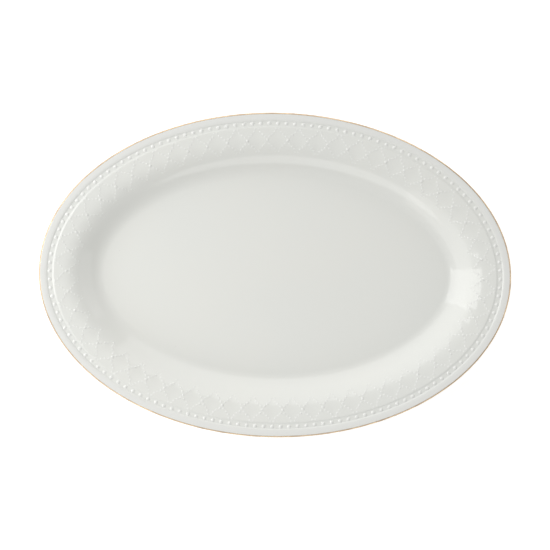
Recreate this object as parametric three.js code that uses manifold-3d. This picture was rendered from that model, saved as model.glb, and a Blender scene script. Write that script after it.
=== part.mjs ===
// An oval china serving platter: a flat well, a curved wall, a broad rim with a net of raised strings,
// a channel of beads inside a plain lip, a gold line round the edge and a ring to stand on.
// Millimetres, +Z up, +X along the platter. The origin is the centre of the plane that it stands on.
//
// Everything is one cross-section carried round the oval. A point of the section is
// [inset, height]: how far it lies inside the outer edge, square to it, and how far above the table.

import * as THREE from 'three';
import { mergeVertices } from 'three/addons/utils/BufferGeometryUtils.js';
import Module from 'manifold-3d';

// --- Driving dimensions -----------------------------------------------------------------------

const LENGTH = 406.4; // 16 inches, over the gold line
const WIDTH = 279.4; // 11 inches
const WALL = 4.8; // thickness of the china in the well and the wall
const FOOT_HEIGHT = 5.0; // clearance under the well
const WELL_HEIGHT = FOOT_HEIGHT + WALL; // the surface that food lies on
const LIP_HEIGHT = 28.0; // top of the plain lip
const RIM_HEIGHT = LIP_HEIGHT - 0.4; // top of the rim, beside the channel

// Insets of the features of the face, from the outer edge inwards.
const CHANNEL_OUTSIDE = 6.2;
const BEAD_LINE = 9.3; // the line that the beads' centres follow
const CHANNEL_INSIDE = 12.4;
const NET_LINE = 23.5; // the line where neighbouring cells of the net meet
const SHOULDER = 22.0; // the rim starts to curve down here
const STEEPEST = 40.0;
const WELL_EDGE = 56.0;

const STEEPEST_HEIGHT = 17.3;
const RIM_SLOPE = 7; // degrees
const WALL_SLOPE = 37;
const CHANNEL_DEPTH = 0.7;
const CHANNEL_SIDE = 1.0; // width of the channel's sloping sides

const LIP_RADIUS = 1.5;
const LIP_STEPS = 4; // facets over the lip's round edge, even so that a corner faces outwards
const LIP_UNDERCUT = 2.0; // the underside leaves the rim's line this far outside the shoulder
const GOLD_THICKNESS = 0.25;
const SEAM = 0.05; // left between pieces that lie on each other
const NET_SEAM = 0.35; // the same under the net, which doesn't share the body's facets

const FOOT_OUTSIDE = 55.5; // insets of the foot ring where it meets the body
const FOOT_INSIDE = 65.0;
const FOOT_TAPER = 1.8; // how much narrower each side of the ring is at the table

const BEADS = 140;
const BEAD_RADIUS = 1.9;
const BEAD_RISE = 1.3; // from the channel's floor to a bead's top
const STRIP_WIDTH = 3.4; // the low strip that carries the beads
const STRIP_THICKNESS = 0.4;

const CELLS = 54; // of the net
const CELL_HALF_HEIGHT = 9.7;
const CELL_END = 0.42; // how far along its cell a string is, in cells, at the cell's top or bottom
const STRING_WIDTH = 2.0;
const STRING_RISE = 0.5;
const STRING_STEPS = 3; // facets along a quarter of a cell's outline

const COLUMNS = 72; // facets round the oval

const wasm = await Module();
wasm.setup();

// --- The oval ---------------------------------------------------------------------------------

// The point at an inset, where `turn` is the ellipse's own angle.
function onOval(inset, turn, height) {
  const [x, y] = [(LENGTH / 2) * Math.cos(turn), (WIDTH / 2) * Math.sin(turn)];
  const outward = new THREE.Vector2(Math.cos(turn) / LENGTH, Math.sin(turn) / WIDTH).normalize();
  return new THREE.Vector3(x - inset * outward.x, y - inset * outward.y, height);
}

// Lengths along the line at an inset, measured in fine steps once round the oval.
function measure(inset, steps = 4320) {
  const lengths = [0];
  for (let i = 1; i <= steps; i++) {
    const [from, to] = [i - 1, i].map((k) => onOval(inset, (2 * Math.PI * k) / steps, 0));
    lengths.push(lengths[i - 1] + from.distanceTo(to));
  }
  return lengths;
}

// The turns that divide the line at an inset evenly. `share` 0 to 1 is once round, from the +X end.
function evenTurns(inset) {
  const lengths = measure(inset);
  const steps = lengths.length - 1;
  return (share) => {
    const laps = Math.floor(share);
    const wanted = (share - laps) * lengths[steps];
    let [low, high] = [0, steps];
    while (high - low > 1) {
      const middle = (low + high) >> 1;
      if (lengths[middle] <= wanted) low = middle;
      else high = middle;
    }
    const part = (wanted - lengths[low]) / (lengths[high] - lengths[low]);
    return 2 * Math.PI * (laps + (low + part) / steps);
  };
}

const turnOnNet = evenTurns(NET_LINE);
const turnOnBeads = evenTurns(BEAD_LINE);
const columns = Array.from({ length: COLUMNS }, (_, i) => turnOnNet(i / COLUMNS));

// --- The section ------------------------------------------------------------------------------

// The point a distance further in from `point` on a line of that slope, which falls inwards.
function further([inset, height], distance, slope) {
  return [inset + distance, height - distance * Math.tan(THREE.MathUtils.degToRad(slope))];
}

// A smooth curve that leaves `from` and reaches `to` on the slopes given.
function bend(from, fromSlope, to, toSlope, steps) {
  const reach = 0.36 * Math.abs(to[0] - from[0]);
  const handles = [from, further(from, reach, fromSlope), further(to, -reach, toSlope), to];
  const curve = new THREE.CubicBezierCurve(...handles.map((p) => new THREE.Vector2(...p)));
  return curve.getPoints(steps).map((p) => [p.x, p.y]);
}

// The face from the channel's inner edge to the well.
const rimEdge = [CHANNEL_INSIDE, RIM_HEIGHT];
const shoulder = further(rimEdge, SHOULDER - CHANNEL_INSIDE, RIM_SLOPE);
const steepest = [STEEPEST, STEEPEST_HEIGHT];
const wellEdge = [WELL_EDGE, WELL_HEIGHT];

const wallFace = [
  ...bend(shoulder, RIM_SLOPE, steepest, WALL_SLOPE, 5),
  ...bend(steepest, WALL_SLOPE, wellEdge, 0, 5).slice(1),
];

// The height of the face at an inset, from the channel's inner edge inwards.
function faceHeight(inset) {
  if (inset <= SHOULDER) return further(rimEdge, inset - CHANNEL_INSIDE, RIM_SLOPE)[1];
  const i = wallFace.findIndex((p) => p[0] >= inset);
  const [from, to] = [wallFace[i - 1], wallFace[i]];
  return THREE.MathUtils.mapLinear(inset, from[0], to[0], from[1], to[1]);
}

// The lip's round edge, grown by `extra`: from its top, over the outside, to its underside.
const lipCentre = [SEAM + GOLD_THICKNESS + LIP_RADIUS, LIP_HEIGHT - LIP_RADIUS];
function lipArc(extra) {
  const radius = LIP_RADIUS + extra;
  return Array.from({ length: LIP_STEPS + 1 }, (_, i) => {
    const angle = Math.PI * (i / LIP_STEPS);
    return [lipCentre[0] - radius * Math.sin(angle), lipCentre[1] + radius * Math.cos(angle)];
  });
}

// The underside follows the face one wall thickness below it, and thins towards the lip.
const wallTilt = THREE.MathUtils.degToRad(WALL_SLOPE);
const underShoulder = [SHOULDER - LIP_UNDERCUT, shoulder[1] - WALL];
const underSteepest = [
  STEEPEST - WALL * Math.sin(wallTilt),
  steepest[1] - WALL * Math.cos(wallTilt),
];
const underside = [
  ...bend(underShoulder, RIM_SLOPE, underSteepest, WALL_SLOPE, 3),
  ...bend(underSteepest, WALL_SLOPE, [FOOT_OUTSIDE, FOOT_HEIGHT], 0, 3).slice(1),
];

const channelFloor = LIP_HEIGHT - CHANNEL_DEPTH;
const bodySection = [
  ...wallFace.toReversed(),
  rimEdge,
  [CHANNEL_INSIDE - CHANNEL_SIDE, channelFloor],
  [CHANNEL_OUTSIDE + CHANNEL_SIDE, channelFloor],
  [CHANNEL_OUTSIDE, LIP_HEIGHT],
  ...lipArc(0),
  ...underside,
  [FOOT_INSIDE, FOOT_HEIGHT],
];

// --- Carrying a section round the oval --------------------------------------------------------

function ringsOf(section) {
  return section.map(([inset, height]) => columns.map((turn) => onOval(inset, turn, height)));
}

// Two triangles for each square between one ring and the next.
function skinBetween(rings, pairs) {
  const triangles = [];
  for (const [a, b] of pairs) {
    rings[a].forEach((corner, i) => {
      const j = (i + 1) % COLUMNS;
      triangles.push([corner, rings[b][i], rings[b][j]], [corner, rings[b][j], rings[a][j]]);
    });
  }
  return triangles;
}

function geometryOf(triangles) {
  return new THREE.BufferGeometry().setFromPoints(triangles.flat());
}

// A solid with the section's first and last rings closed by flat faces, as a plate is.
function disc(section) {
  const rings = ringsOf(section);
  const triangles = skinBetween(rings, rings.slice(1).map((_, i) => [i, i + 1]));
  const [first, last] = [rings[0], rings.at(-1)];
  const centres = [section[0][1], section.at(-1)[1]].map((z) => new THREE.Vector3(0, 0, z));
  for (let i = 0; i < COLUMNS; i++) {
    const j = (i + 1) % COLUMNS;
    triangles.push([centres[0], first[i], first[j]], [centres[1], last[j], last[i]]);
  }
  return geometryOf(triangles);
}

// A solid ring from a closed section.
function hoop(section) {
  const rings = ringsOf(section);
  return geometryOf(skinBetween(rings, rings.map((_, i) => [i, (i + 1) % rings.length])));
}

// --- Joining with manifold-3d -----------------------------------------------------------------

function solidOf(geometry) {
  const bare = geometry.index ? geometry.toNonIndexed() : geometry.clone();
  for (const name of ['normal', 'uv']) bare.deleteAttribute(name);
  const merged = mergeVertices(bare, 1e-4);
  return new wasm.Manifold(
    new wasm.Mesh({
      numProp: 3,
      vertProperties: merged.attributes.position.array,
      triVerts: new Uint32Array(merged.index.array),
    }),
  );
}

function union(geometries) {
  return geometries.map(solidOf).reduce((all, piece) => all.add(piece));
}

function surfaceOf(solid) {
  const mesh = solid.getMesh();
  return new THREE.BufferGeometry()
    .setAttribute('position', new THREE.BufferAttribute(mesh.vertProperties, 3))
    .setIndex(new THREE.BufferAttribute(mesh.triVerts, 1));
}

// --- The pieces -------------------------------------------------------------------------------

// Twenty-sided pearl with its centre `sink` below the surface that it stands on.
function pearl(radius, inset, turn, height, sink) {
  const at = onOval(inset, turn, height - sink);
  return new THREE.IcosahedronGeometry(radius, 0).translate(at.x, at.y, at.z);
}

function footRing() {
  const top = FOOT_HEIGHT - SEAM;
  return hoop([
    [FOOT_INSIDE, top],
    [FOOT_OUTSIDE, top],
    [FOOT_OUTSIDE + FOOT_TAPER, 0],
    [FOOT_INSIDE - FOOT_TAPER, 0],
  ]);
}

function goldLine() {
  return hoop([...lipArc(SEAM + GOLD_THICKNESS), ...lipArc(SEAM).toReversed()]);
}

function beadBorder() {
  const bottom = channelFloor + SEAM;
  const [outside, inside] = [BEAD_LINE - STRIP_WIDTH / 2, BEAD_LINE + STRIP_WIDTH / 2];
  const strip = hoop([
    [inside, bottom],
    [inside, bottom + STRIP_THICKNESS],
    [outside, bottom + STRIP_THICKNESS],
    [outside, bottom],
  ]);
  const sink = BEAD_RADIUS - BEAD_RISE;
  const beads = Array.from({ length: BEADS }, (_, i) =>
    pearl(BEAD_RADIUS, BEAD_LINE, turnOnBeads(i / BEADS), channelFloor, sink),
  );
  const below = new THREE.BoxGeometry(LENGTH, WIDTH, WELL_HEIGHT);
  below.translate(0, 0, bottom - WELL_HEIGHT / 2);
  return surfaceOf(union([strip, ...beads]).subtract(solidOf(below)));
}

// Half of one side of a cell, from where it meets its neighbour to its top or bottom end.
// x is in cells along the oval and y in millimetres across the rim.
const halfSide = new THREE.CubicBezierCurve(
  new THREE.Vector2(0, 0),
  new THREE.Vector2(0.04, 0.39 * CELL_HALF_HEIGHT),
  new THREE.Vector2(CELL_END, 0.61 * CELL_HALF_HEIGHT),
  new THREE.Vector2(CELL_END, CELL_HALF_HEIGHT),
);

// The closed line of strings round one cell, as [share of the oval, inset] points.
function cellLine(cell) {
  const quarter = halfSide.getPoints(STRING_STEPS);
  const corner = (side, across, p) => [
    (cell + 0.5 + side * (0.5 - p.x)) / CELLS,
    NET_LINE + across * p.y,
  ];
  return [
    ...quarter.map((p) => corner(1, 1, p)),
    ...quarter.toReversed().slice(0, -1).map((p) => corner(-1, 1, p)),
    ...quarter.map((p) => corner(-1, -1, p)),
    ...quarter.toReversed().slice(0, -1).map((p) => corner(1, -1, p)),
  ];
}

// A low three-sided string that follows a closed line on the face.
const netLength = measure(NET_LINE).at(-1);
function stringOn(line) {
  const flat = line.map(([share, inset]) => new THREE.Vector2(share * netLength, inset));
  const rings = flat.map((point, i) => {
    const [before, after] = [flat.at(i - 1), flat[(i + 1) % flat.length]];
    const along = after.clone().sub(before).normalize();
    const aside = new THREE.Vector2(-along.y, along.x).multiplyScalar(STRING_WIDTH / 2);
    const onFace = (p, rise) =>
      onOval(p.y, turnOnNet(p.x / netLength), faceHeight(p.y) + NET_SEAM + rise);
    return [
      onFace(point.clone().add(aside), 0),
      onFace(point, STRING_RISE),
      onFace(point.clone().sub(aside), 0),
    ];
  });
  const triangles = [];
  rings.forEach((ring, i) => {
    const next = rings[(i + 1) % rings.length];
    for (let k = 0; k < 3; k++) {
      const m = (k + 1) % 3;
      triangles.push([ring[k], next[m], next[k]], [ring[k], ring[m], next[m]]);
    }
  });
  return geometryOf(triangles);
}

function net() {
  const strings = Array.from({ length: CELLS }, (_, cell) => stringOn(cellLine(cell)));
  return surfaceOf(union(strings));
}

// --- The platter ------------------------------------------------------------------------------

const glaze = new THREE.MeshStandardMaterial({ color: 0xe3e4de, roughness: 0.12 });
const bareChina = new THREE.MeshStandardMaterial({ color: 0xd9d3c7, roughness: 0.75 });
const gold = new THREE.MeshStandardMaterial({ color: 0xd2ac6c, roughness: 0.2, metalness: 1 });

const platter = new THREE.Group();
function add(name, geometry, material) {
  const mesh = new THREE.Mesh(geometry, material);
  mesh.name = name;
  platter.add(mesh);
}

add('china_body', disc(bodySection), glaze);
add('foot_ring', footRing(), bareChina);
add('bead_border', beadBorder(), glaze);
add('lattice_relief', net(), glaze);
add('gold_rim_line', goldLine(), gold);

export default platter;
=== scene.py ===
# %% [markdown]
# # An oval china serving platter
#
# The real platter is one fired piece of white china under a glossy glaze: a flat well, a curved wall, a
# broad rim with a net of raised strings of pearls, a channel of beads, a plain lip with a gold line on its
# edge, and a ring to stand on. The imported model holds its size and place. This script makes the surfaces
# that are looked at.
#
# Everything on the platter follows one rule, a section carried round an oval, so most cells below draw a
# small part of that section and leave the carrying to Geometry Nodes.

# %% Load the frame
import math

import bmesh
import bpy
from mathutils import Matrix, Vector
from mathutils.geometry import interpolate_bezier


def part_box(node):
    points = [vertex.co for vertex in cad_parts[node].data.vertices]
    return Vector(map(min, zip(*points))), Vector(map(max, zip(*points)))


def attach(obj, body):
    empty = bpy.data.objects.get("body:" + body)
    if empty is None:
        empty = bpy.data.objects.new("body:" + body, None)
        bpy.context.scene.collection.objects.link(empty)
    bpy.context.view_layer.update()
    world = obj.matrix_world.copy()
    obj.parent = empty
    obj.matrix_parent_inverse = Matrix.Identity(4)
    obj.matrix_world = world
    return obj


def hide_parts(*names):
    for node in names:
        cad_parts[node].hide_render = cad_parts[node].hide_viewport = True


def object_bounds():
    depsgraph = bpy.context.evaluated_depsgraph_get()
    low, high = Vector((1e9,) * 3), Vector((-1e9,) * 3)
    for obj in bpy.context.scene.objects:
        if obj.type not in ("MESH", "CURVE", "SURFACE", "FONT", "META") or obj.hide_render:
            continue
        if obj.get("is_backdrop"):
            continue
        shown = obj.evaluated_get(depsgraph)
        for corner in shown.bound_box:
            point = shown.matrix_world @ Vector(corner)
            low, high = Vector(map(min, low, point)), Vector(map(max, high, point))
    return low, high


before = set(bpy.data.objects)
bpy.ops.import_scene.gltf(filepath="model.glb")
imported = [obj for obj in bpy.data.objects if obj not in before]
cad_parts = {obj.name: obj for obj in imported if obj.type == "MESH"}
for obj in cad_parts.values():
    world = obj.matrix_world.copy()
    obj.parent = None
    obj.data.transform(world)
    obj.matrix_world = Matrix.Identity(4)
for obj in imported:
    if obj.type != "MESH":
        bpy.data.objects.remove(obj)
cad_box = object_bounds()
MM = 0.001  # metres in a millimetre
print("packed nodes:", *sorted(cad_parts))
print("the frame's box in mm:", [round(side / MM, 1) for side in cad_box[1] - cad_box[0]])

# %% [markdown]
# ## The platter's measures
#
# A piece only fits the frame if its sizes come from the frame, so the oval, the heights and the foot are
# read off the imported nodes. What the frame doesn't hold, such as how softly an edge is rounded, is stated
# once, in millimetres, where it is first needed. An *inset* is how far a point lies inside the outer edge,
# square to it. Slopes are in degrees and fall inwards.

# %% Read the measures off the frame
half_length, half_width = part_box("gold_rim_line")[1].xy
under_height, lip_height = (corner.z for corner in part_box("china_body"))
foot_outside = half_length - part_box("foot_ring")[1].x
print(f"oval {2 * half_length / MM:.1f} x {2 * half_width / MM:.1f} mm, lip {lip_height / MM:.1f} mm high")

# %% [markdown]
# ## A bench for building node trees
#
# Materials and Geometry Nodes are both node trees, and both are easier to read as sums than as lists of
# links. A `Wire` is a socket that can be added, multiplied and so on: each operation lays down a Math node.
# A `Bench` is a tree under construction, and its method `node` takes a node's type, its settings and its
# inputs. A setting is made first, because it decides which sockets the node has.


# %% Make wires
def pick(sockets, name):
    """The socket of that name or number among those that the node's settings leave in use."""
    in_use = [socket for socket in sockets if socket.enabled]
    if isinstance(name, int):
        return in_use[name]
    return next(socket for socket in in_use if socket.name == name)


class Wire:
    """A socket of a tree on the bench. Arithmetic on wires adds Math nodes to that tree."""

    def __init__(self, bench, socket):
        self.bench = bench
        self.socket = socket

    def out(self, name):
        """Another output of the same node."""
        return Wire(self.bench, pick(self.socket.node.outputs, name))

    def __add__(self, other):
        return self.bench.maths("ADD", self, other)

    def __sub__(self, other):
        return self.bench.maths("SUBTRACT", self, other)

    def __rsub__(self, other):
        return self.bench.maths("SUBTRACT", other, self)

    def __mul__(self, other):
        return self.bench.maths("MULTIPLY", self, other)

    def __truediv__(self, other):
        return self.bench.maths("DIVIDE", self, other)

    __radd__ = __add__
    __rmul__ = __mul__


print("wires add nodes for + - * and /")


# %% Make a bench
class Bench:
    """A node tree under construction."""

    def __init__(self, tree):
        self.tree = tree

    def node(self, kind, settings=None, inputs=None):
        """Adds a node, sets it, then joins or fills its inputs. Returns a wire from its first output."""
        made = self.tree.nodes.new(kind)
        for name, value in (settings or {}).items():
            setattr(made, name, value)
        for name, value in (inputs or {}).items():
            socket = pick(made.inputs, name)
            if isinstance(value, Wire):
                self.tree.links.new(value.socket, socket)
            else:
                socket.default_value = value
        if not made.outputs:
            return None
        return Wire(self, pick(made.outputs, 0))

    def maths(self, operation, *values, clamp=False):
        """Adds a Math node of those numbers or wires. A clamped one stays from 0 to 1."""
        settings = {"operation": operation, "use_clamp": clamp}
        return self.node("ShaderNodeMath", settings, dict(enumerate(values)))

    def point(self, x, y, z):
        """Joins three numbers or wires into one vector."""
        return self.node("ShaderNodeCombineXYZ", None, {"X": x, "Y": y, "Z": z})


print("the bench is ready")

# %% [markdown]
# ## The rule of the oval
#
# A potter's template is turned round an oval former, so every line on the platter runs at a constant
# distance inside the edge. That is a parallel curve of an ellipse, not a smaller ellipse. The functions
# below write the rule as nodes: where a point lies at an inset and a turn, and which turns divide a line
# evenly. The second needs a measured line, because equal steps of the ellipse's own angle bunch up at its
# ends. Sample Curve does the measuring.


# %% Write the rule as nodes
LINE_STEPS = 1440  # a quarter of a degree each


def on_oval(bench, oval, inset, turn):
    """Wires for x and y at that inset and turn. `oval` holds wires for the half length and half width."""
    cosine, sine = bench.maths("COSINE", turn), bench.maths("SINE", turn)
    lean_x, lean_y = cosine / oval[0], sine / oval[1]
    lean = bench.maths("SQRT", lean_x * lean_x + lean_y * lean_y)
    return oval[0] * cosine - inset * lean_x / lean, oval[1] * sine - inset * lean_y / lean


def line_round(bench, oval, inset):
    """The line at an inset, once round, as a curve that remembers the turn of each of its points."""
    line = bench.node("GeometryNodeMeshLine", None, {"Count": LINE_STEPS + 1})
    turn = bench.node("GeometryNodeInputIndex") * (2 * math.pi / LINE_STEPS)
    x, y = on_oval(bench, oval, inset, turn)
    placed = bench.node(
        "GeometryNodeSetPosition", None, {"Geometry": line, "Position": bench.point(x, y, 0.0)}
    )
    marked = bench.node(
        "GeometryNodeStoreNamedAttribute", None, {"Geometry": placed, "Name": "turn", "Value": turn}
    )
    return bench.node("GeometryNodeMeshToCurve", None, {"Mesh": marked})


def turn_along(bench, line, share):
    """The turn at a share, 0 to 1, of the way round a line, measured along that line."""
    mark = bench.node("GeometryNodeInputNamedAttribute", None, {"Name": "turn"})
    once = bench.maths("FRACT", share)
    return bench.node("GeometryNodeSampleCurve", None, {"Curves": line, "Value": mark, "Factor": once})


print("the oval's line is measured in", LINE_STEPS, "steps")

# %% [markdown]
# Every tree starts with a named input for each of its sizes, so that it could be used on another platter
# from the modifier panel. Every tree ends by making its copies real, because an export drops instances,
# and by giving the faces their finish.


# %% Start and end a geometry tree
def new_tree(name, labels):
    """A geometry tree with a named input for each label. Returns its bench and the wire of its geometry."""
    tree = bpy.data.node_groups.new(name, "GeometryNodeTree")
    sockets = {"Geometry": "NodeSocketGeometry", **labels}
    for label, kind in sockets.items():
        tree.interface.new_socket(label, in_out="INPUT", socket_type=kind)
    tree.interface.new_socket("Geometry", in_out="OUTPUT", socket_type="NodeSocketGeometry")
    bench = Bench(tree)
    return bench, bench.node("NodeGroupInput")


def end_tree(bench, given, geometry):
    """Finishes a tree as every one here ends: real faces, smooth shading and the piece's material."""
    real = bench.node("GeometryNodeRealizeInstances", None, {"Geometry": geometry})
    smooth = bench.node("GeometryNodeSetShadeSmooth", None, {"Geometry": real})
    finished = bench.node(
        "GeometryNodeSetMaterial", None, {"Geometry": smooth, "Material": given.out("Material")}
    )
    bench.node("NodeGroupOutput", None, {"Geometry": finished})
    return bench.tree


print("geometry trees can be made")

# %% [markdown]
# ## Carrying a section round the oval
#
# The object that gets this modifier starts as nothing but its section, drawn as a row of points: x is the
# inset, z the height, and y tells how far the point is drawn in to the platter's centre, 1 for not at all
# and 0 for the centre itself, with a minus sign on the underside. A grid with one column for each step
# round the oval takes its points from that row. Screw and Curve to Mesh could sweep a section too, but
# Screw only knows circles, and Curve to Mesh tilts and pinches the section at the oval's tight ends.
#
# The same tree presses the cells of the net into the rim. Each cell is a shallow dish with an ogee outline,
# and its half width across the rim follows a cosine. The dish is deepest in its middle and nothing at the
# strings.


# %% Build the tree that carries a section
WAIST, SWELL = 0.29, 0.21  # a cell's half width is WAIST + SWELL * cos(pi * across), in cells
WELD = 0.001 * MM  # points closer than this are one point
MIDWAY = 0.5  # added to a whole number, it keeps a floored division clear of rounding


def carrying_tree():
    """Takes a row of points for a section, and gives the closed skin that it sweeps round the oval."""
    bench, given = new_tree(
        "Carry Round the Oval",
        {
            "Half Length": "NodeSocketFloat",
            "Half Width": "NodeSocketFloat",
            "Columns": "NodeSocketInt",
            "Net Line": "NodeSocketFloat",
            "Cells": "NodeSocketInt",
            "Cell Half Height": "NodeSocketFloat",
            "Dish": "NodeSocketFloat",
            "Material": "NodeSocketMaterial",
        },
    )
    oval = given.out("Half Length"), given.out("Half Width")
    columns = given.out("Columns")
    rows = bench.node("GeometryNodeAttributeDomainSize", None, {"Geometry": given})
    grid = bench.node("GeometryNodeMeshGrid", None, {"Vertices X": columns + 1, "Vertices Y": rows})
    index = bench.node("GeometryNodeInputIndex")
    column = bench.maths("FLOOR", (index + MIDWAY) / rows)
    row = index - column * rows
    drawn = bench.node(
        "GeometryNodeSampleIndex",
        {"data_type": "FLOAT_VECTOR"},
        {"Geometry": given, "Value": bench.node("GeometryNodeInputPosition"), "Index": row},
    )
    parts = bench.node("ShaderNodeSeparateXYZ", None, {"Vector": drawn})
    inset, signed_pull, height = parts.out("X"), parts.out("Y"), parts.out("Z")
    share = column / columns
    turn = turn_along(bench, line_round(bench, oval, given.out("Net Line")), share)
    x, y = on_oval(bench, oval, inset, turn)
    pull = bench.maths("ABSOLUTE", signed_pull)
    lowered = height - pressed_cells(bench, given, share, inset, signed_pull)
    placed = bench.node(
        "GeometryNodeSetPosition",
        None,
        {"Geometry": grid, "Position": bench.point(x * pull, y * pull, lowered)},
    )
    marked = bench.node(
        "GeometryNodeStoreNamedAttribute", None, {"Geometry": placed, "Name": "inset", "Value": inset}
    )
    closed = bench.node("GeometryNodeMergeByDistance", None, {"Geometry": marked, "Distance": WELD})
    return end_tree(bench, given, closed)


def pressed_cells(bench, given, share, inset, signed_pull):
    """How deep the net's cells press the face at a place. The underside isn't pressed."""
    across = (inset - given.out("Net Line")) / given.out("Cell Half Height")
    along = bench.maths("FRACT", share * given.out("Cells")) - MIDWAY
    half = bench.maths("COSINE", across * math.pi) * SWELL + WAIST
    side = along / half
    inside = bench.maths("MAXIMUM", 1 - side * side, 0.0)
    ends = bench.maths("MAXIMUM", 1 - across * across, 0.0)
    on_face = bench.maths("GREATER_THAN", signed_pull, 0.0)
    return inside * ends * on_face * given.out("Dish")


CARRY = carrying_tree()
print("tree:", CARRY.name, "with", len(CARRY.nodes), "nodes")

# %% [markdown]
# ## From a tree to a plain mesh
#
# A tree runs as a modifier. Its inputs are set by the sockets' own identifiers before the object is first
# evaluated, and the evaluated mesh is then kept as the piece's mesh, with the modifier taken off. `inspect`
# measures what came out: a solid that could be cast is closed, and its volume is positive when its faces
# point outwards.


# %% Draw and inspect a piece
CM = 10 * MM


def draw(name, points, edges=(), faces=()):
    """A new object at the origin, drawn from points in metres."""
    mesh = bpy.data.meshes.new(name)
    mesh.from_pydata([tuple(point) for point in points], edges, faces)
    piece = bpy.data.objects.new(name, mesh)
    bpy.context.scene.collection.objects.link(piece)
    return piece


def inspect(piece):
    """Prints a piece's triangles, open edges and signed volume."""
    solid = bmesh.new()
    solid.from_mesh(piece.data)
    open_edges = sum(len(edge.link_faces) != 2 for edge in solid.edges)
    triangles = sum(len(face.verts) - 2 for face in solid.faces)
    volume = solid.calc_volume(signed=True) / CM**3
    solid.free()
    print(f"{piece.name}: {triangles} triangles, {open_edges} open edges, {volume:.2f} cm3")


print("pieces can be drawn and inspected")


# %% Run a tree and settle its piece
OVAL = {"Half_Length": half_length, "Half_Width": half_width}


def run(tree, piece, **values):
    """Runs a tree on a piece. An input called Half Length is given as Half_Length."""
    modifier = piece.modifiers.new(tree.name, "NODES")
    modifier.node_group = tree
    wanted = {name.replace("_", " "): value for name, value in values.items()}
    for socket in tree.interface.items_tree:
        if socket.in_out == "INPUT" and socket.name in wanted:
            modifier[socket.identifier] = wanted.pop(socket.name)
    assert not wanted, f"{tree.name} has no input {list(wanted)}"
    graph = bpy.context.evaluated_depsgraph_get()
    mesh = bpy.data.meshes.new_from_object(piece.evaluated_get(graph))
    piece.modifiers.clear()
    piece.data = mesh
    mesh.name = piece.name
    inspect(piece)


def settle(piece, node, slot):
    """Puts a finished piece in the frame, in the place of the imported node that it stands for."""
    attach(piece, "root")
    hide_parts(node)


print("every tree gets", OVAL)

# %% [markdown]
# ## Drawing the body's section
#
# The body's outline is short: a few straight runs and four bends. `bend` is a Bezier curve that leaves one
# point and reaches the next on stated slopes, and `soften` turns hard corners into small curves, as the
# glaze does when it melts over them. Modelling the section point by point would give the same shape, but no
# one could then say where the wall is steepest or how deep the channel is.


# %% Draw bends and soft corners
EASE = 0.36  # how far a bend's handles reach, as a share of its width
TO_CORNER = 2 / 3  # how far a soft corner's handles lie towards the corner


def further(point, distance, slope):
    """The point that lies a distance further in on a line of that slope in degrees, falling inwards."""
    return point + Vector((distance, -distance * math.tan(math.radians(slope))))


def bend(start, start_slope, end, end_slope, steps):
    """Points on a smooth curve between two points, on a stated slope at each."""
    reach = EASE * abs(end.x - start.x)
    handles = further(start, reach, start_slope), further(end, -reach, end_slope)
    return list(interpolate_bezier(start, *handles, end, steps + 1))


def straight(start, end, steps):
    """Points evenly spaced on a straight line."""
    return [start.lerp(end, i / steps) for i in range(steps + 1)]


def soften(corners, reach, points=4):
    """The line through these corners, with each one between the ends turned into a short curve."""
    line = [corners[0]]
    for before, corner, after in zip(corners, corners[1:], corners[2:]):
        back, on = before - corner, after - corner
        entry = corner + back.normalized() * min(reach, back.length / 2)
        leave = corner + on.normalized() * min(reach, on.length / 2)
        handles = entry.lerp(corner, TO_CORNER), leave.lerp(corner, TO_CORNER)
        line += interpolate_bezier(entry, *handles, leave, points)
    return line + [corners[-1]]


print("a bend's handles reach over", EASE, "of its width")

# %% [markdown]
# The lip's edge is a true arc, because a platter is held by it. Its outermost line lies a gold line's
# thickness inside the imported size, so that the gold, and not the clay, is what reaches that size.

# %% Draw the lip's arc
lip_radius, gold_skin = 1.76 * MM, 0.04 * MM
lip_centre = Vector((lip_radius + gold_skin, lip_height - lip_radius))


def lip_arc(radii, start, end):
    """Points round the lip's edge, one for each radius. Angles are in degrees from its top, outwards."""
    step = (end - start) / (len(radii) - 1)
    angles = [math.radians(start + step * i) for i in range(len(radii))]
    return [lip_centre + r * Vector((-math.sin(a), math.cos(a))) for r, a in zip(radii, angles)]


print("the lip's edge has a radius of", round(lip_radius / MM, 2), "mm")

# %% [markdown]
# ## The glaze
#
# The white is the clay itself, seen through a clear glaze. It isn't one even colour: the glaze is a little
# warm where it is thin and a little cool and green where it pools, the clay has faint clouds, and the kiln
# leaves a few dark specks. A real glaze is never quite flat either. It has a slow ripple from the pressing
# and a fine skin like an orange's, which bend what it mirrors, and its gloss varies slightly where it has
# been wiped and used. All of this is read from the object's own coordinates, so it stays on the china
# wherever it is looked at from. The channel's corners, where the glaze pools, are also painted darker as
# shade, and the lip is painted a lighter, cooler white. Both follow the inset stored on the body.


# %% Start, blend and end a material
def new_material(name):
    """A bench for a new material, with nothing on it."""
    material = bpy.data.materials.new(name)
    material.use_nodes = True
    material.node_tree.nodes.clear()
    return material, Bench(material.node_tree)


def finish_material(bench, settings):
    """Ends a material with a Principled shader of those settings."""
    shader = bench.node("ShaderNodeBsdfPrincipled", None, settings)
    bench.node("ShaderNodeOutputMaterial", None, {"Surface": shader})


def blend_colours(bench, factor, first, second):
    """The first colour where the factor is 0, the second where it is 1."""
    inputs = {"Factor": factor, "A": first, "B": second}
    return bench.node("ShaderNodeMix", {"data_type": "RGBA"}, inputs)


def place_on(bench):
    """Where a point lies on the object, in metres."""
    return bench.node("ShaderNodeTexCoord").out("Object")


def noise(bench, scale, detail=2.0):
    """Noise from 0 to 1 with that many waves to a metre."""
    waves = {"Vector": place_on(bench), "Scale": scale, "Detail": detail}
    return bench.node("ShaderNodeTexNoise", None, waves)


def uneven_skin(bench, height, depth, below=None):
    """A bump that is that many metres deep, over another one if there is one below."""
    bump = {"Height": height, "Distance": depth, "Strength": 1.0}
    if below is not None:
        bump["Normal"] = below
    return bench.node("ShaderNodeBump", None, bump)


print("materials can be made")

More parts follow.
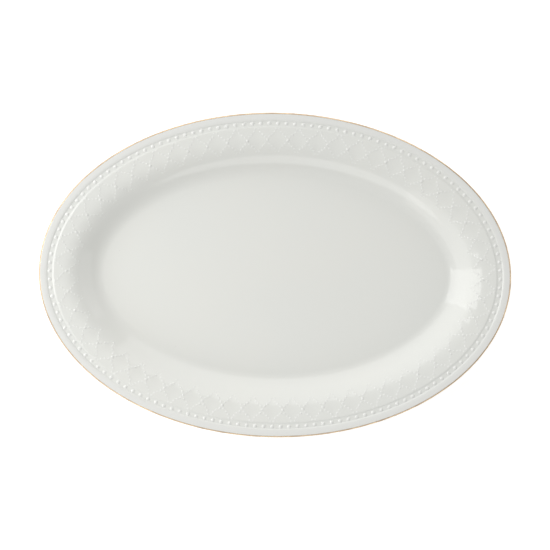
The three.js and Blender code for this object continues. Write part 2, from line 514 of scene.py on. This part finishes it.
# %% Make the glazed white
WARM_WHITE = (0.824, 0.826, 0.780, 1.0)
COOL_WHITE = (0.812, 0.820, 0.781, 1.0)
SPECK = (0.22, 0.18, 0.14, 1.0)
CLOUD_SCALE, CLOUD_DETAIL, CLOUD_CONTRAST, CLOUD_LEAST = 11.0, 3.0, 2.2, 0.6
SPECK_CELLS, SPECK_RADIUS = 80.0, 0.2 * MM  # cells to a metre, and a speck's size
SPECK_STRENGTH = 0.45
RIPPLE_SCALE, RIPPLE_DETAIL, RIPPLE_DEPTH = 28.0, 1.0, 0.04 * MM
SKIN_SCALE, SKIN_DEPTH = 240.0, 0.004 * MM
GLOSS_SCALE, GLOSS_CHANGE, GLOSSIEST = 60.0, 0.05, 0.045  # the last two are roughnesses
GLAZE_IOR = 1.5


def clay_white(bench):
    """The white of the clay under its glaze, with faint clouds and a few kiln specks."""
    cloud = noise(bench, CLOUD_SCALE, CLOUD_DETAIL) * CLOUD_CONTRAST
    cloud = bench.maths("SUBTRACT", cloud, CLOUD_LEAST, clamp=True)
    white = blend_colours(bench, cloud, WARM_WHITE, COOL_WHITE)
    cells = {"Vector": place_on(bench), "Scale": SPECK_CELLS}
    away = bench.node("ShaderNodeTexVoronoi", None, cells).out("Distance")
    speck = bench.maths("LESS_THAN", away, SPECK_RADIUS * SPECK_CELLS) * SPECK_STRENGTH
    return blend_colours(bench, speck, white, SPECK)


def glaze_skin(bench):
    """The normal of a glaze: a slow ripple under a fine skin."""
    ripple = uneven_skin(bench, noise(bench, RIPPLE_SCALE, RIPPLE_DETAIL), RIPPLE_DEPTH)
    return uneven_skin(bench, noise(bench, SKIN_SCALE), SKIN_DEPTH, ripple)


def glaze(name, parts):
    """Glazed china. `parts` is a function that changes the clay's white where the glaze lies otherwise."""
    material, bench = new_material(name)
    finish_material(
        bench,
        {
            "Base Color": parts(bench, clay_white(bench)),
            "Roughness": noise(bench, GLOSS_SCALE) * GLOSS_CHANGE + GLOSSIEST,
            "IOR": GLAZE_IOR,
            "Normal": glaze_skin(bench),
        },
    )
    return material


print("white glaze:", WARM_WHITE[:3], "to", COOL_WHITE[:3])

# %% Tone the lip, and paint shade into the channel's corners
# a slightly lighter, cooler white painted on the lip
LIP_WHITE = (0.828, 0.831, 0.800, 1.0)
# the channel's corners: a greener white where glaze pools, darkened as painted shade
POOLED = (0.785, 0.805, 0.770, 1.0)
lip_end, lip_fade = 5.0 * MM, 3.0 * MM
channel_outside, channel_inside, channel_rise = 7.6 * MM, 12.7 * MM, 1.0 * MM
# how wide and how strong the pooling and painted shade in the channel's corners are
pool_half_width, pool_strength = 0.9 * MM, 0.25


def band(bench, value, middle, width):
    """1 on a line of that value, falling to 0 a width away on either side."""
    away = bench.maths("ABSOLUTE", value - middle)
    return bench.maths("SUBTRACT", 1.0, away / width, clamp=True)


def lip_and_channel(bench, white):
    """The lip is a slightly lighter, cooler white, and the channel's two corners are darker and greener:
    glaze pooling there, and painted shade.
    """
    inset = bench.node("ShaderNodeAttribute", {"attribute_name": "inset"}).out("Fac")
    off_lip = bench.maths("DIVIDE", inset - lip_end, lip_fade, clamp=True)
    outer = band(bench, inset, channel_outside, pool_half_width)
    inner = band(bench, inset, channel_inside - channel_rise, pool_half_width)
    toned = blend_colours(bench, off_lip, LIP_WHITE, white)
    return blend_colours(bench, (outer + inner) * pool_strength, toned, POOLED)


CHINA_GLAZE = glaze("white_glaze", lip_and_channel)
print(CHINA_GLAZE.name, "has", len(CHINA_GLAZE.node_tree.nodes), "nodes")

# %% [markdown]
# ## The glaze on beads and pearls
#
# Glaze runs off what is raised and gathers at its foot, so the tops are a little whiter and the feet a
# little greener. The whiter tops are also a painted highlight, which makes the beads and pearls show as
# light dots.
# How far a face leans from the upright tells top from foot, and it is a property of the shape, not of the
# eye, so it holds from all sides.


# %% Make the glaze of the raised work
# the white of the tops: thinner glaze, and a painted highlight
THIN_WHITE = (0.90, 0.905, 0.880, 1.0)
THINNED = 0.4  # how far the tops go to that white, which is thin glaze and a painted highlight
TOP_LEAN, FOOT_RATE = 0.9, 2.0  # a face starts to be foot at that cosine, and gets there at that rate


def thin_on_top(bench, white):
    """The white of raised work: whiter on its tops, from thin glaze and a painted highlight, and the clay's
    own at its foot.
    """
    normal = bench.node("ShaderNodeNewGeometry").out("Normal")
    upright = bench.node("ShaderNodeSeparateXYZ", None, {"Vector": normal}).out("Z")
    foot = bench.maths("SUBTRACT", TOP_LEAN, upright, clamp=True) * FOOT_RATE
    thin = blend_colours(bench, THINNED, white, THIN_WHITE)
    return blend_colours(bench, foot, thin, white)


BEAD_GLAZE = glaze("bead_glaze", thin_on_top)
NET_GLAZE = glaze("lattice_glaze", thin_on_top)
print("glazes:", BEAD_GLAZE.name, NET_GLAZE.name)

# %% [markdown]
# ## The foot's dry edge
#
# Glaze would stick a platter to the kiln's shelf, so it is wiped off the foot before firing. What is left
# there is bare clay: creamier, matt and slightly gritty. The edge of the glaze wavers, as a sponge leaves
# it. The mask is simply the height above the table, with a little noise added.


# %% Make the foot's finish
PALE_CLAY, DARK_CLAY = (0.80, 0.77, 0.68, 1.0), (0.70, 0.66, 0.56, 1.0)
wipe_height, wipe_fade = 1.1 * MM, 0.25 * MM
WAVER_SCALE, WAVER_DETAIL, waver_height = 90.0, 3.0, 1.0 * MM
GRIT_SCALE, GRIT_DETAIL, GRIT_DEPTH = 2600.0, 3.0, 0.08 * MM
CLAY_ROUGHNESS, GLAZED_ROUGHNESS = 0.85, 0.07


def dry_foot():
    """Bare clay up to the wiped line, and glaze above it."""
    material, bench = new_material("foot_china")
    height = bench.node("ShaderNodeSeparateXYZ", None, {"Vector": place_on(bench)}).out("Z")
    waver = noise(bench, WAVER_SCALE, WAVER_DETAIL) * waver_height
    glazed = bench.maths("DIVIDE", height + waver - wipe_height, wipe_fade, clamp=True)
    grit = noise(bench, GRIT_SCALE, GRIT_DETAIL)
    clay = blend_colours(bench, grit, DARK_CLAY, PALE_CLAY)
    finish_material(
        bench,
        {
            "Base Color": blend_colours(bench, glazed, clay, clay_white(bench)),
            "Roughness": CLAY_ROUGHNESS - glazed * (CLAY_ROUGHNESS - GLAZED_ROUGHNESS),
            "IOR": GLAZE_IOR,
            "Normal": uneven_skin(bench, grit * (1 - glazed), GRIT_DEPTH, glaze_skin(bench)),
        },
    )
    return material


DRY_FOOT = dry_foot()
print(DRY_FOOT.name, "has", len(DRY_FOOT.node_tree.nodes), "nodes")

# %% [markdown]
# ## Gilding
#
# Burnished gold is a metal, so nearly all of its colour is what it mirrors. It was put on with a brush and
# rubbed bright with agate, which leaves fine marks, and use thins it until a browner tone shows. The
# roughness and the colour both follow the same worn patches, as they do on an old plate.


# %% Make the gilding
BRIGHT_GOLD, WORN_GOLD = (0.75, 0.59, 0.41, 1.0), (0.53, 0.40, 0.28, 1.0)
WEAR_SCALE, WEAR_DETAIL, WEAR_CONTRAST, WEAR_LEAST = 130.0, 4.0, 3.0, 1.2
MARK_SCALE, MARK_DEPTH = 1800.0, 0.006 * MM
BURNISHED, WORN_DULLS, MARK_DULLS = 0.2, 0.14, 0.1  # roughnesses


def gilding():
    """Burnished gold, browner and duller where it is worn."""
    material, bench = new_material("gilding")
    wear = noise(bench, WEAR_SCALE, WEAR_DETAIL) * WEAR_CONTRAST
    worn = bench.maths("SUBTRACT", wear, WEAR_LEAST, clamp=True)
    marks = noise(bench, MARK_SCALE)
    finish_material(
        bench,
        {
            "Base Color": blend_colours(bench, worn, BRIGHT_GOLD, WORN_GOLD),
            "Metallic": 1.0,
            "Roughness": BURNISHED + worn * WORN_DULLS + marks * MARK_DULLS,
            "Normal": uneven_skin(bench, marks, MARK_DEPTH),
        },
    )
    return material


GILDING = gilding()
print(GILDING.name, "has", len(GILDING.node_tree.nodes), "nodes")

# %% [markdown]
# ## The china body
#
# The body is pressed over a mould from one bat of clay, so its face and its underside run a wall apart. The
# section starts under the centre, comes out to the lip, goes over it and returns over the channel, the rim,
# the wall and the well. It is drawn here in its parts, first the rim and the wall, then the lip and the
# channel of the beads. The lip rolls over into the channel in three slopes, each steeper than the last.

# %% Draw the rim and the wall
RIM_STEPS, WALL_STEPS = 7, 14
wall_thickness, rim_drop = 4.8 * MM, 1.05 * MM
rim_height, well_height = lip_height - rim_drop, under_height + wall_thickness
shoulder_inset, well_edge_inset = 20.8 * MM, 54.8 * MM
steepest_inset, steepest_height = 39.0 * MM, 17.3 * MM
rim_slope, wall_slope = 7, 37
rim_edge = Vector((channel_inside, rim_height))
shoulder = further(rim_edge, shoulder_inset - channel_inside, rim_slope)
steepest = Vector((steepest_inset, steepest_height))
well_edge = Vector((well_edge_inset, well_height))
rim_and_wall = (
    straight(rim_edge, shoulder, RIM_STEPS)[1:]
    + bend(shoulder, rim_slope, steepest, wall_slope, WALL_STEPS)[1:]
    + bend(steepest, wall_slope, well_edge, 0, WALL_STEPS)[1:]
)
print("the wall falls", round((shoulder.y - well_height) / MM, 1), "mm from the shoulder to the well")

# %% Draw the lip and the channel
lip_slopes, channel_slope = (4, 11, 34), 3
lip_roll, channel_drop = 4.7 * MM, 0.9 * MM
lip_start, rim_start, corner_reach = 0.5 * MM, 1.4 * MM, 0.45 * MM
lip_top = Vector((lip_centre.x, lip_height))
lip_edge = further(lip_top, lip_roll - lip_top.x, lip_slopes[0])
channel_brink = further(lip_edge, channel_outside - channel_drop - lip_roll, lip_slopes[1])
channel_floor = further(channel_brink, channel_drop, lip_slopes[2])
channel_end = further(channel_floor, channel_inside - channel_outside - channel_rise, channel_slope)
channel_corners = [
    further(lip_top, lip_start, lip_slopes[0]),
    lip_edge,
    channel_brink,
    channel_floor,
    channel_end,
    rim_edge,
    further(rim_edge, rim_start, rim_slope),
]
channel = soften(channel_corners, corner_reach)[:-1]
print("the channel's floor ends", round((rim_edge.y - channel_end.y) / MM, 2), "mm below the rim")

# %% [markdown]
# The underside follows the face a wall below it, from the lip to the foot. `pulls` draws the well's flat
# floor, above and below, in to the centre in a few wide steps, because a flat surface needs no more.

# %% Draw the underside
UNDER_RIM_STEPS, UNDER_WALL_STEPS = 5, 8
lip_leaves = 172  # degrees from the lip's top, over its outside, to where the underside leaves it
under_setback = 2 * MM  # how much further out the shoulder turns underneath
wall_tilt = math.radians(wall_slope)
under_shoulder = shoulder - Vector((under_setback, wall_thickness))
under_steepest = steepest - wall_thickness * Vector((math.sin(wall_tilt), math.cos(wall_tilt)))
under_edge = Vector((foot_outside, under_height))
under_lip = lip_arc([lip_radius] * 2, 0, lip_leaves)[1]
underside = (
    straight(under_lip, under_shoulder, UNDER_RIM_STEPS)[:-1]
    + bend(under_shoulder, rim_slope, under_steepest, wall_slope, UNDER_WALL_STEPS)
    + bend(under_steepest, wall_slope, under_edge, 0, UNDER_WALL_STEPS)[1:]
)
print("the underside has", len(underside), "points from the lip to the foot")

# %% Close the section
LIP_POINTS, lip_meets = 13, 166  # the lip's arc starts a few degrees short of the underside's end
pulls = (0.0, 0.35, 0.7, 0.88, 0.96)
floor_inset = 62 * MM  # from here in, the well is flat and is only drawn in
body_section = [(floor_inset, -pull, under_height) for pull in pulls]
body_section += [(floor_inset, -1.0, under_height)]
body_section += [(point.x, -1.0, point.y) for point in reversed(underside)]
face = lip_arc([lip_radius] * LIP_POINTS, lip_meets, 0) + channel + rim_and_wall
body_section += [(point.x, 1.0, point.y) for point in face]
body_section += [(floor_inset, pull, well_height) for pull in (1.0, *reversed(pulls))]
print("the body's section has", len(body_section), "points")

# %% [markdown]
# The body runs one column for every twelfth of a cell of the net, so that each cell is pressed in the same
# way. The dishes are shallower than a fingernail is thick, yet they are what breaks up the light on the rim.

# %% Carry the body's section
CELLS, COLUMNS_TO_A_CELL = 54, 12
net_line, cell_half_height, dish_depth = 23.5 * MM, 9.7 * MM, 0.28 * MM
NET = {"Net_Line": net_line, "Cells": CELLS, "Cell_Half_Height": cell_half_height}
edges = [(i, i + 1) for i in range(len(body_section) - 1)]
platter = draw("platter_body", body_section, edges)
columns = CELLS * COLUMNS_TO_A_CELL
run(CARRY, platter, **OVAL, **NET, Columns=columns, Dish=dish_depth, Material=CHINA_GLAZE)
settle(platter, "china_body", "white_glaze")

# %% [markdown]
# ## The foot ring
#
# The ring that the platter stands on is turned from the same clay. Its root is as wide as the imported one
# and its edge is narrower and rounded, so that it neither chips nor scratches a table. It is a section that
# closes on itself, and the same tree carries it round. Its root is set a little way into the body, as it
# grows out of it.

# %% Draw the foot's section
FOOT_CORNER_POINTS = 6
foot_width, foot_taper = 9.5 * MM, 1.8 * MM
root_depth, foot_softness = 0.3 * MM, 1.3 * MM
foot_inside = foot_outside + foot_width
foot_corners = [
    Vector((foot_outside, under_height + root_depth)),
    Vector((foot_outside, under_height)),
    Vector((foot_outside + foot_taper, 0.0)),
    Vector((foot_inside - foot_taper, 0.0)),
    Vector((foot_inside, under_height)),
    Vector((foot_inside, under_height + root_depth)),
]
foot_section = soften(foot_corners, foot_softness, FOOT_CORNER_POINTS)
print("the foot's section has", len(foot_section), "points")


# %% Carry the foot's section
FOOT_COLUMNS = 432


def hoop(name, section, columns, material):
    """A ring round the oval. The section is drawn from its outside, under itself, to its inside."""
    closed = [(point.x, 1.0, point.y) for point in reversed(section)]
    closed.append(closed[0])
    piece = draw(name, closed, [(i, i + 1) for i in range(len(section))])
    run(CARRY, piece, **OVAL, **NET, Columns=columns, Material=material)
    return piece


foot = hoop("turned_foot", foot_section, FOOT_COLUMNS, DRY_FOOT)
settle(foot, "foot_ring", "foot_china")

# %% [markdown]
# ## The gold line
#
# Liquid gold is laid on the fired glaze with a fine brush while the platter turns on a wheel, then fired
# again at a lower heat. It is far thinner than a hair. Here it is a thin crescent over the lip's edge, from
# just inside the top to well underneath, whose own edges sink into the glaze so that no step shows.

# %% Make the gold line
GOLD_COLUMNS, GOLD_STEPS = 864, 14
GOLD_EDGE = 1 / 4  # the share of the line's width over which its edge thins out
gold_start, gold_end = 14, 150  # degrees over the lip from its top
shares = [i / GOLD_STEPS for i in range(GOLD_STEPS + 1)]
fullness = [min(1.0, share / GOLD_EDGE, (1 - share) / GOLD_EDGE) for share in shares]
outer_radii = [lip_radius + gold_skin * full for full in fullness]
inner_radii = [lip_radius - gold_skin] * (GOLD_STEPS + 1)
gold_section = lip_arc(outer_radii, gold_start, gold_end) + lip_arc(inner_radii, gold_end, gold_start)
gold_line = hoop("gold_line", gold_section, GOLD_COLUMNS, GILDING)
settle(gold_line, "gold_rim_line", "gilding")

# %% [markdown]
# ## A bead to repeat
#
# Beads and pearls are low domes with a soft foot, as clay leaves a carved mould and as glaze fills the
# angle round them. One dome is drawn as a few rings of points, with a flat base and a pole, and it is
# closed, because hundreds of copies of it have to be solids. A dozen points round is enough at this size. A
# UV sphere would do too, but half of its faces would be hidden in the china.


# %% Draw a dome
SUNK = 0.06 * MM  # how far a dome's base lies in the china, so that no gap shows on a curved rim
RINGS = (1.0, 0.86, 0.68, 0.46, 0.22)  # shares of a dome's radius


def dome(name, radius, rise, flare, sides):
    """A closed dome on its own origin. A flare of 1 is a cap, and 2 is a soft bump with no edge."""
    points = []
    for share in RINGS:
        height = rise * (1 - share * share) ** flare - SUNK
        for side in range(sides):
            angle = 2 * math.pi * side / sides
            points.append((radius * share * math.cos(angle), radius * share * math.sin(angle), height))
    top = len(points)
    points.append((0.0, 0.0, rise - SUNK))
    faces = [tuple(reversed(range(sides)))]
    for start in range(0, top - sides, sides):
        for side in range(sides):
            here, there = start + side, start + (side + 1) % sides
            faces.append((here, there, there + sides, here + sides))
    faces += [(top - sides + side, top - sides + (side + 1) % sides, top) for side in range(sides)]
    print(name, "is drawn with", len(faces), "faces")
    return draw(name, points, (), faces)


print("a dome's base is sunk by", SUNK / MM, "mm")

# %% [markdown]
# ## Beads in their channel
#
# The real beads are rolled into the soft clay with a toothed wheel, so they are evenly spaced and no two
# are quite alike. The tree below does the same. It counts its points off along a line on the oval, drops
# each onto the china with Raycast, stands the dome square to the surface there and varies its size a little
# from a fixed seed. An Array modifier on a curve would space them by the ellipse's angle and crowd them at
# the ends.


# %% Build the tree that lays domes on the china
ABOVE = 0.1  # metres: where the rays that look for the china start


def row_sockets():
    """The inputs of every tree that lays domes in rows."""
    return {
        "Half Length": "NodeSocketFloat",
        "Half Width": "NodeSocketFloat",
        "China": "NodeSocketObject",
        "Line": "NodeSocketFloat",
        "Count": "NodeSocketInt",
        "Unevenness": "NodeSocketFloat",
        "Seed": "NodeSocketInt",
        "Material": "NodeSocketMaterial",
    }


def lay_domes(bench, given, count, x, y, size):
    """Stands the tree's own mesh at each place, on the china below it. Finishes the tree."""
    china = bench.node("GeometryNodeObjectInfo", None, {"Object": given.out("China")}).out("Geometry")
    met = bench.node(
        "GeometryNodeRaycast",
        None,
        {
            "Target Geometry": china,
            "Source Position": bench.point(x, y, ABOVE),
            "Ray Direction": (0.0, 0.0, -1.0),
            "Ray Length": ABOVE,
        },
    )
    points = bench.node("GeometryNodePoints", None, {"Count": count})
    placed = bench.node(
        "GeometryNodeSetPosition", None, {"Geometry": points, "Position": met.out("Hit Position")}
    )
    stood = bench.node(
        "FunctionNodeAlignRotationToVector", {"axis": "Z"}, {"Vector": met.out("Hit Normal")}
    )
    least, most = 1 - given.out("Unevenness"), 1 + given.out("Unevenness")
    limits = {"Min": least, "Max": most, "Seed": given.out("Seed")}
    uneven = bench.node("FunctionNodeRandomValue", {"data_type": "FLOAT"}, limits)
    domes = bench.node(
        "GeometryNodeInstanceOnPoints",
        None,
        {"Points": placed, "Instance": given, "Rotation": stood, "Scale": uneven * size},
    )
    return end_tree(bench, given, domes)


print("domes are dropped from", ABOVE, "m up")


# %% Build the tree that counts off beads
def bead_tree():
    """Beads at even steps along one line on the oval."""
    bench, given = new_tree("Beads on a Line", row_sockets())
    oval = given.out("Half Length"), given.out("Half Width")
    count, inset = given.out("Count"), given.out("Line")
    share = bench.node("GeometryNodeInputIndex") / count
    turn = turn_along(bench, line_round(bench, oval, inset), share)
    x, y = on_oval(bench, oval, inset, turn)
    return lay_domes(bench, given, count, x, y, 1.0)


BEAD_ROW = bead_tree()
print("tree:", BEAD_ROW.name, "with", len(BEAD_ROW.nodes), "nodes")

# %% Lay the beads
bead_line = 9.3 * MM
beads = dome("moulded_beads", radius=1.9 * MM, rise=0.68 * MM, flare=1.25, sides=12)
run(
    BEAD_ROW,
    beads,
    **OVAL,
    China=platter,
    Line=bead_line,
    Count=140,
    Unevenness=0.04,
    Seed=7,
    Material=BEAD_GLAZE,
)
settle(beads, "bead_border", "bead_glaze")

# %% [markdown]
# ## The net of pearls
#
# The net's strings are rows of small pearls. Where two neighbouring cells meet there is one larger pearl,
# and four strings leave it, two outwards and two inwards, with four pearls on each. Every string is the
# same curve, turned over: it leaves the large pearl square to the rim, leans away and ends straight again,
# which gives the cells their ogee outline. So one Bezier curve, a counting rule and two signs draw all the
# pearls.


# %% Build the tree that strings pearls
STRINGS, STRING_STEPS = 4, 32  # strings to a large pearl, and steps to a string's curve
LEAN, LEAVES, ARRIVES = 0.42, 0.04, 0.42  # of a cell's width: a string's end and its two handles
FIRST_BEND, SECOND_BEND = 0.39, 0.61  # of a string's height: its two handles


def pearl_tree():
    """A large pearl where two cells meet, and pearls on the four strings that leave it."""
    sockets = row_sockets()
    sockets.update(
        {
            "Cell Half Height": "NodeSocketFloat",
            "Pearls on a String": "NodeSocketInt",
            "First Gap": "NodeSocketFloat",
            "Large Pearl": "NodeSocketFloat",
        }
    )
    bench, given = new_tree("Pearls on a Net", sockets)
    oval = given.out("Half Length"), given.out("Half Width")
    cells, height = given.out("Count"), given.out("Cell Half Height")
    length = given.out("Pearls on a String")
    line = line_round(bench, oval, given.out("Line"))
    width = bench.node("GeometryNodeCurveLength", None, {"Curve": line}) / cells

    each = length * STRINGS + 1
    index = bench.node("GeometryNodeInputIndex")
    cell = bench.maths("FLOOR", (index + MIDWAY) / each)
    number = index - cell * each
    on_string = bench.maths("GREATER_THAN", number, MIDWAY)
    string = bench.maths("FLOOR", (number - MIDWAY) / length)
    place = number - string * length
    outwards = bench.maths("GREATER_THAN", string, 1 + MIDWAY) * 2 - 1
    sideways = bench.maths("MODULO", string, 2.0) * 2 - 1

    shape = bench.node(
        "GeometryNodeCurvePrimitiveBezierSegment",
        None,
        {
            "Resolution": STRING_STEPS,
            "Start": (0.0, 0.0, 0.0),
            "Start Handle": bench.point(width * LEAVES, height * FIRST_BEND, 0.0),
            "End Handle": bench.point(width * ARRIVES, height * SECOND_BEND, 0.0),
            "End": bench.point(width * LEAN, height, 0.0),
        },
    )
    first = given.out("First Gap")
    share = (first + (1 - first) * place / length) * on_string
    at = bench.node("GeometryNodeSampleCurve", None, {"Curves": shape, "Factor": share}).out("Position")
    parts = bench.node("ShaderNodeSeparateXYZ", None, {"Vector": at})
    along = parts.out("X") * sideways / width
    inset = given.out("Line") - parts.out("Y") * outwards
    turn = turn_along(bench, line, (cell + along) / cells + 1)
    x, y = on_oval(bench, oval, inset, turn)
    size = given.out("Large Pearl") + (1 - given.out("Large Pearl")) * on_string
    return lay_domes(bench, given, cells * each, x, y, size)


PEARL_NET = pearl_tree()
print("tree:", PEARL_NET.name, "with", len(PEARL_NET.nodes), "nodes")

# %% String the pearls
pearls = dome("pearl_net", radius=1.1 * MM, rise=0.29 * MM, flare=1.3, sides=8)
run(
    PEARL_NET,
    pearls,
    **OVAL,
    China=platter,
    Line=net_line,
    Count=CELLS,
    Unevenness=0.06,
    Seed=11,
    Cell_Half_Height=cell_half_height,
    Pearls_on_a_String=4,
    First_Gap=0.04,
    Large_Pearl=1.3,
    Material=NET_GLAZE,
)
settle(pearls, "lattice_relief", "lattice_glaze")

# %% [markdown]
# ## The floor
#
# The platter stands on a plain white floor, a little of whose light is its own, so that it stays white
# under soft light and the platter's shadow on it is only a breath. It lies a hair under the foot, because
# two faces in the same plane would flicker.

# %% Make the floor's paper
PAPER_WHITE, PAPER_SHADE = (0.90, 0.90, 0.90, 1.0), (0.86, 0.86, 0.86, 1.0)
PAPER_SCALE, PAPER_ROUGHNESS, PAPER_GLOW = 3.0, 0.9, 0.45


def studio_white():
    """Matt white paper that glows a little."""
    material, paper = new_material("studio_white")
    finish_material(
        paper,
        {
            "Base Color": blend_colours(paper, noise(paper, PAPER_SCALE), PAPER_SHADE, PAPER_WHITE),
            "Roughness": PAPER_ROUGHNESS,
            "Specular IOR Level": 0.0,
            "Emission Color": (1.0, 1.0, 1.0, 1.0),
            "Emission Strength": PAPER_GLOW,
        },
    )
    return material


PAPER = studio_white()
print(PAPER.name, "has", len(PAPER.node_tree.nodes), "nodes")

# %% Lay the floor
FLOOR_HALF, floor_height = 6.0, -0.05 * MM
CORNERS = ((-1, -1), (1, -1), (1, 1), (-1, 1))
floor_points = [(x * FLOOR_HALF, y * FLOOR_HALF, floor_height) for x, y in CORNERS]
floor = draw("studio_floor", floor_points, (), [(0, 1, 2, 3)])
floor.data.materials.append(PAPER)
floor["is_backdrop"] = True
print("the floor is", 2 * FLOOR_HALF, "m wide")

# %% [markdown]
# ## Studio light
#
# Gloss shows the shape of the lamps, so the lamps are chosen for what the glaze mirrors. A tall softbox
# close on the left is the main light, and the wall at the right end mirrors it as a bright square. A wide
# and weaker one fills from the back. A long low strip in front draws a thin light along the far wall, and
# another one takes it round to the left. A low one on the right keeps the left wall from going black. The
# zenith is left to the grey room. Each softbox is placed by the direction that it comes from and the
# heights of its foot and head.


# %% Make a softbox
def softbox(name, azimuth, foot, head, width, radiance):
    """A softbox at that azimuth in degrees, as bright all over as that radiance.

    `foot` and `head` are how far out and how high its lower and upper edges are, in metres."""
    around = math.radians(azimuth)
    outwards = Vector((math.cos(around), math.sin(around), 0.0))
    low, high = (outwards * out + Vector((0.0, 0.0, up)) for out, up in (foot, head))
    upwards = (high - low).normalized()
    across = Vector((0.0, 0.0, 1.0)).cross(outwards)
    light = bpy.data.lights.new(name, "AREA")
    light.shape = "RECTANGLE"
    light.size, light.size_y = width, (high - low).length
    light.energy = radiance * math.pi * light.size * light.size_y
    lamp = bpy.data.objects.new(name, light)
    facing = Matrix((across, upwards, across.cross(upwards))).transposed()
    lamp.matrix_world = Matrix.Translation((low + high) / 2) @ facing.to_4x4()
    lamp.visible_camera = False
    bpy.context.scene.collection.objects.link(lamp)
    print(f"{name}: {light.size:.2f} x {light.size_y:.2f} m, {light.energy:.1f} W")


# %% Place the softboxes
softbox("left_softbox", azimuth=171, foot=(0.62, 0.17), head=(0.40, 1.25), width=0.40, radiance=2.3)
softbox("back_softbox", azimuth=106, foot=(1.70, 0.30), head=(1.70, 2.50), width=4.2, radiance=1.05)
softbox("front_strip", azimuth=259, foot=(0.90, 0.20), head=(0.90, 0.455), width=2.2, radiance=1.4)
softbox("front_left", azimuth=217, foot=(0.95, 0.20), head=(0.95, 0.80), width=1.0, radiance=0.85)
softbox("right_fill", azimuth=10, foot=(2.30, 0.40), head=(2.30, 1.35), width=2.6, radiance=0.80)

# %% Light the room
ROOM_GREY = (0.40, 0.40, 0.40, 1.0)
world = bpy.data.worlds.new("studio_room")
world.use_nodes = True
world.node_tree.nodes["Background"].inputs["Color"].default_value = ROOM_GREY
bpy.context.scene.world = world
print("the room's grey is", ROOM_GREY[0])

# %% [markdown]
# ## The camera
#
# The platter is looked at from straight above through a long lens, so that its oval isn't distorted. It
# lies a degree round from square, so the camera is turned by as much. The plain "Standard" view keeps
# whites as they are.

# %% Place the camera
lens, view_height, view_turn = 135.0, 1.772, 1.1  # millimetres, metres above the lip, degrees
camera = bpy.data.objects.new("camera", bpy.data.cameras.new("camera"))
camera.data.lens = lens
camera.location = (0.0, 0.0, lip_height + view_height)
camera.rotation_euler = (0.0, 0.0, math.radians(view_turn))
bpy.context.scene.collection.objects.link(camera)
bpy.context.scene.camera = camera
bpy.context.scene.view_settings.view_transform = "Standard"
print("the camera is", view_height, "m above the lip")

# %% [markdown]
# ## Both boxes
#
# The visual model has to keep the imported model's size, so both boxes are written down side by side.

# %% Write both boxes down
boxes = {
    "cad": [list(corner) for corner in cad_box],
    "visual": [list(corner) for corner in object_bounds()],
}
print(boxes)
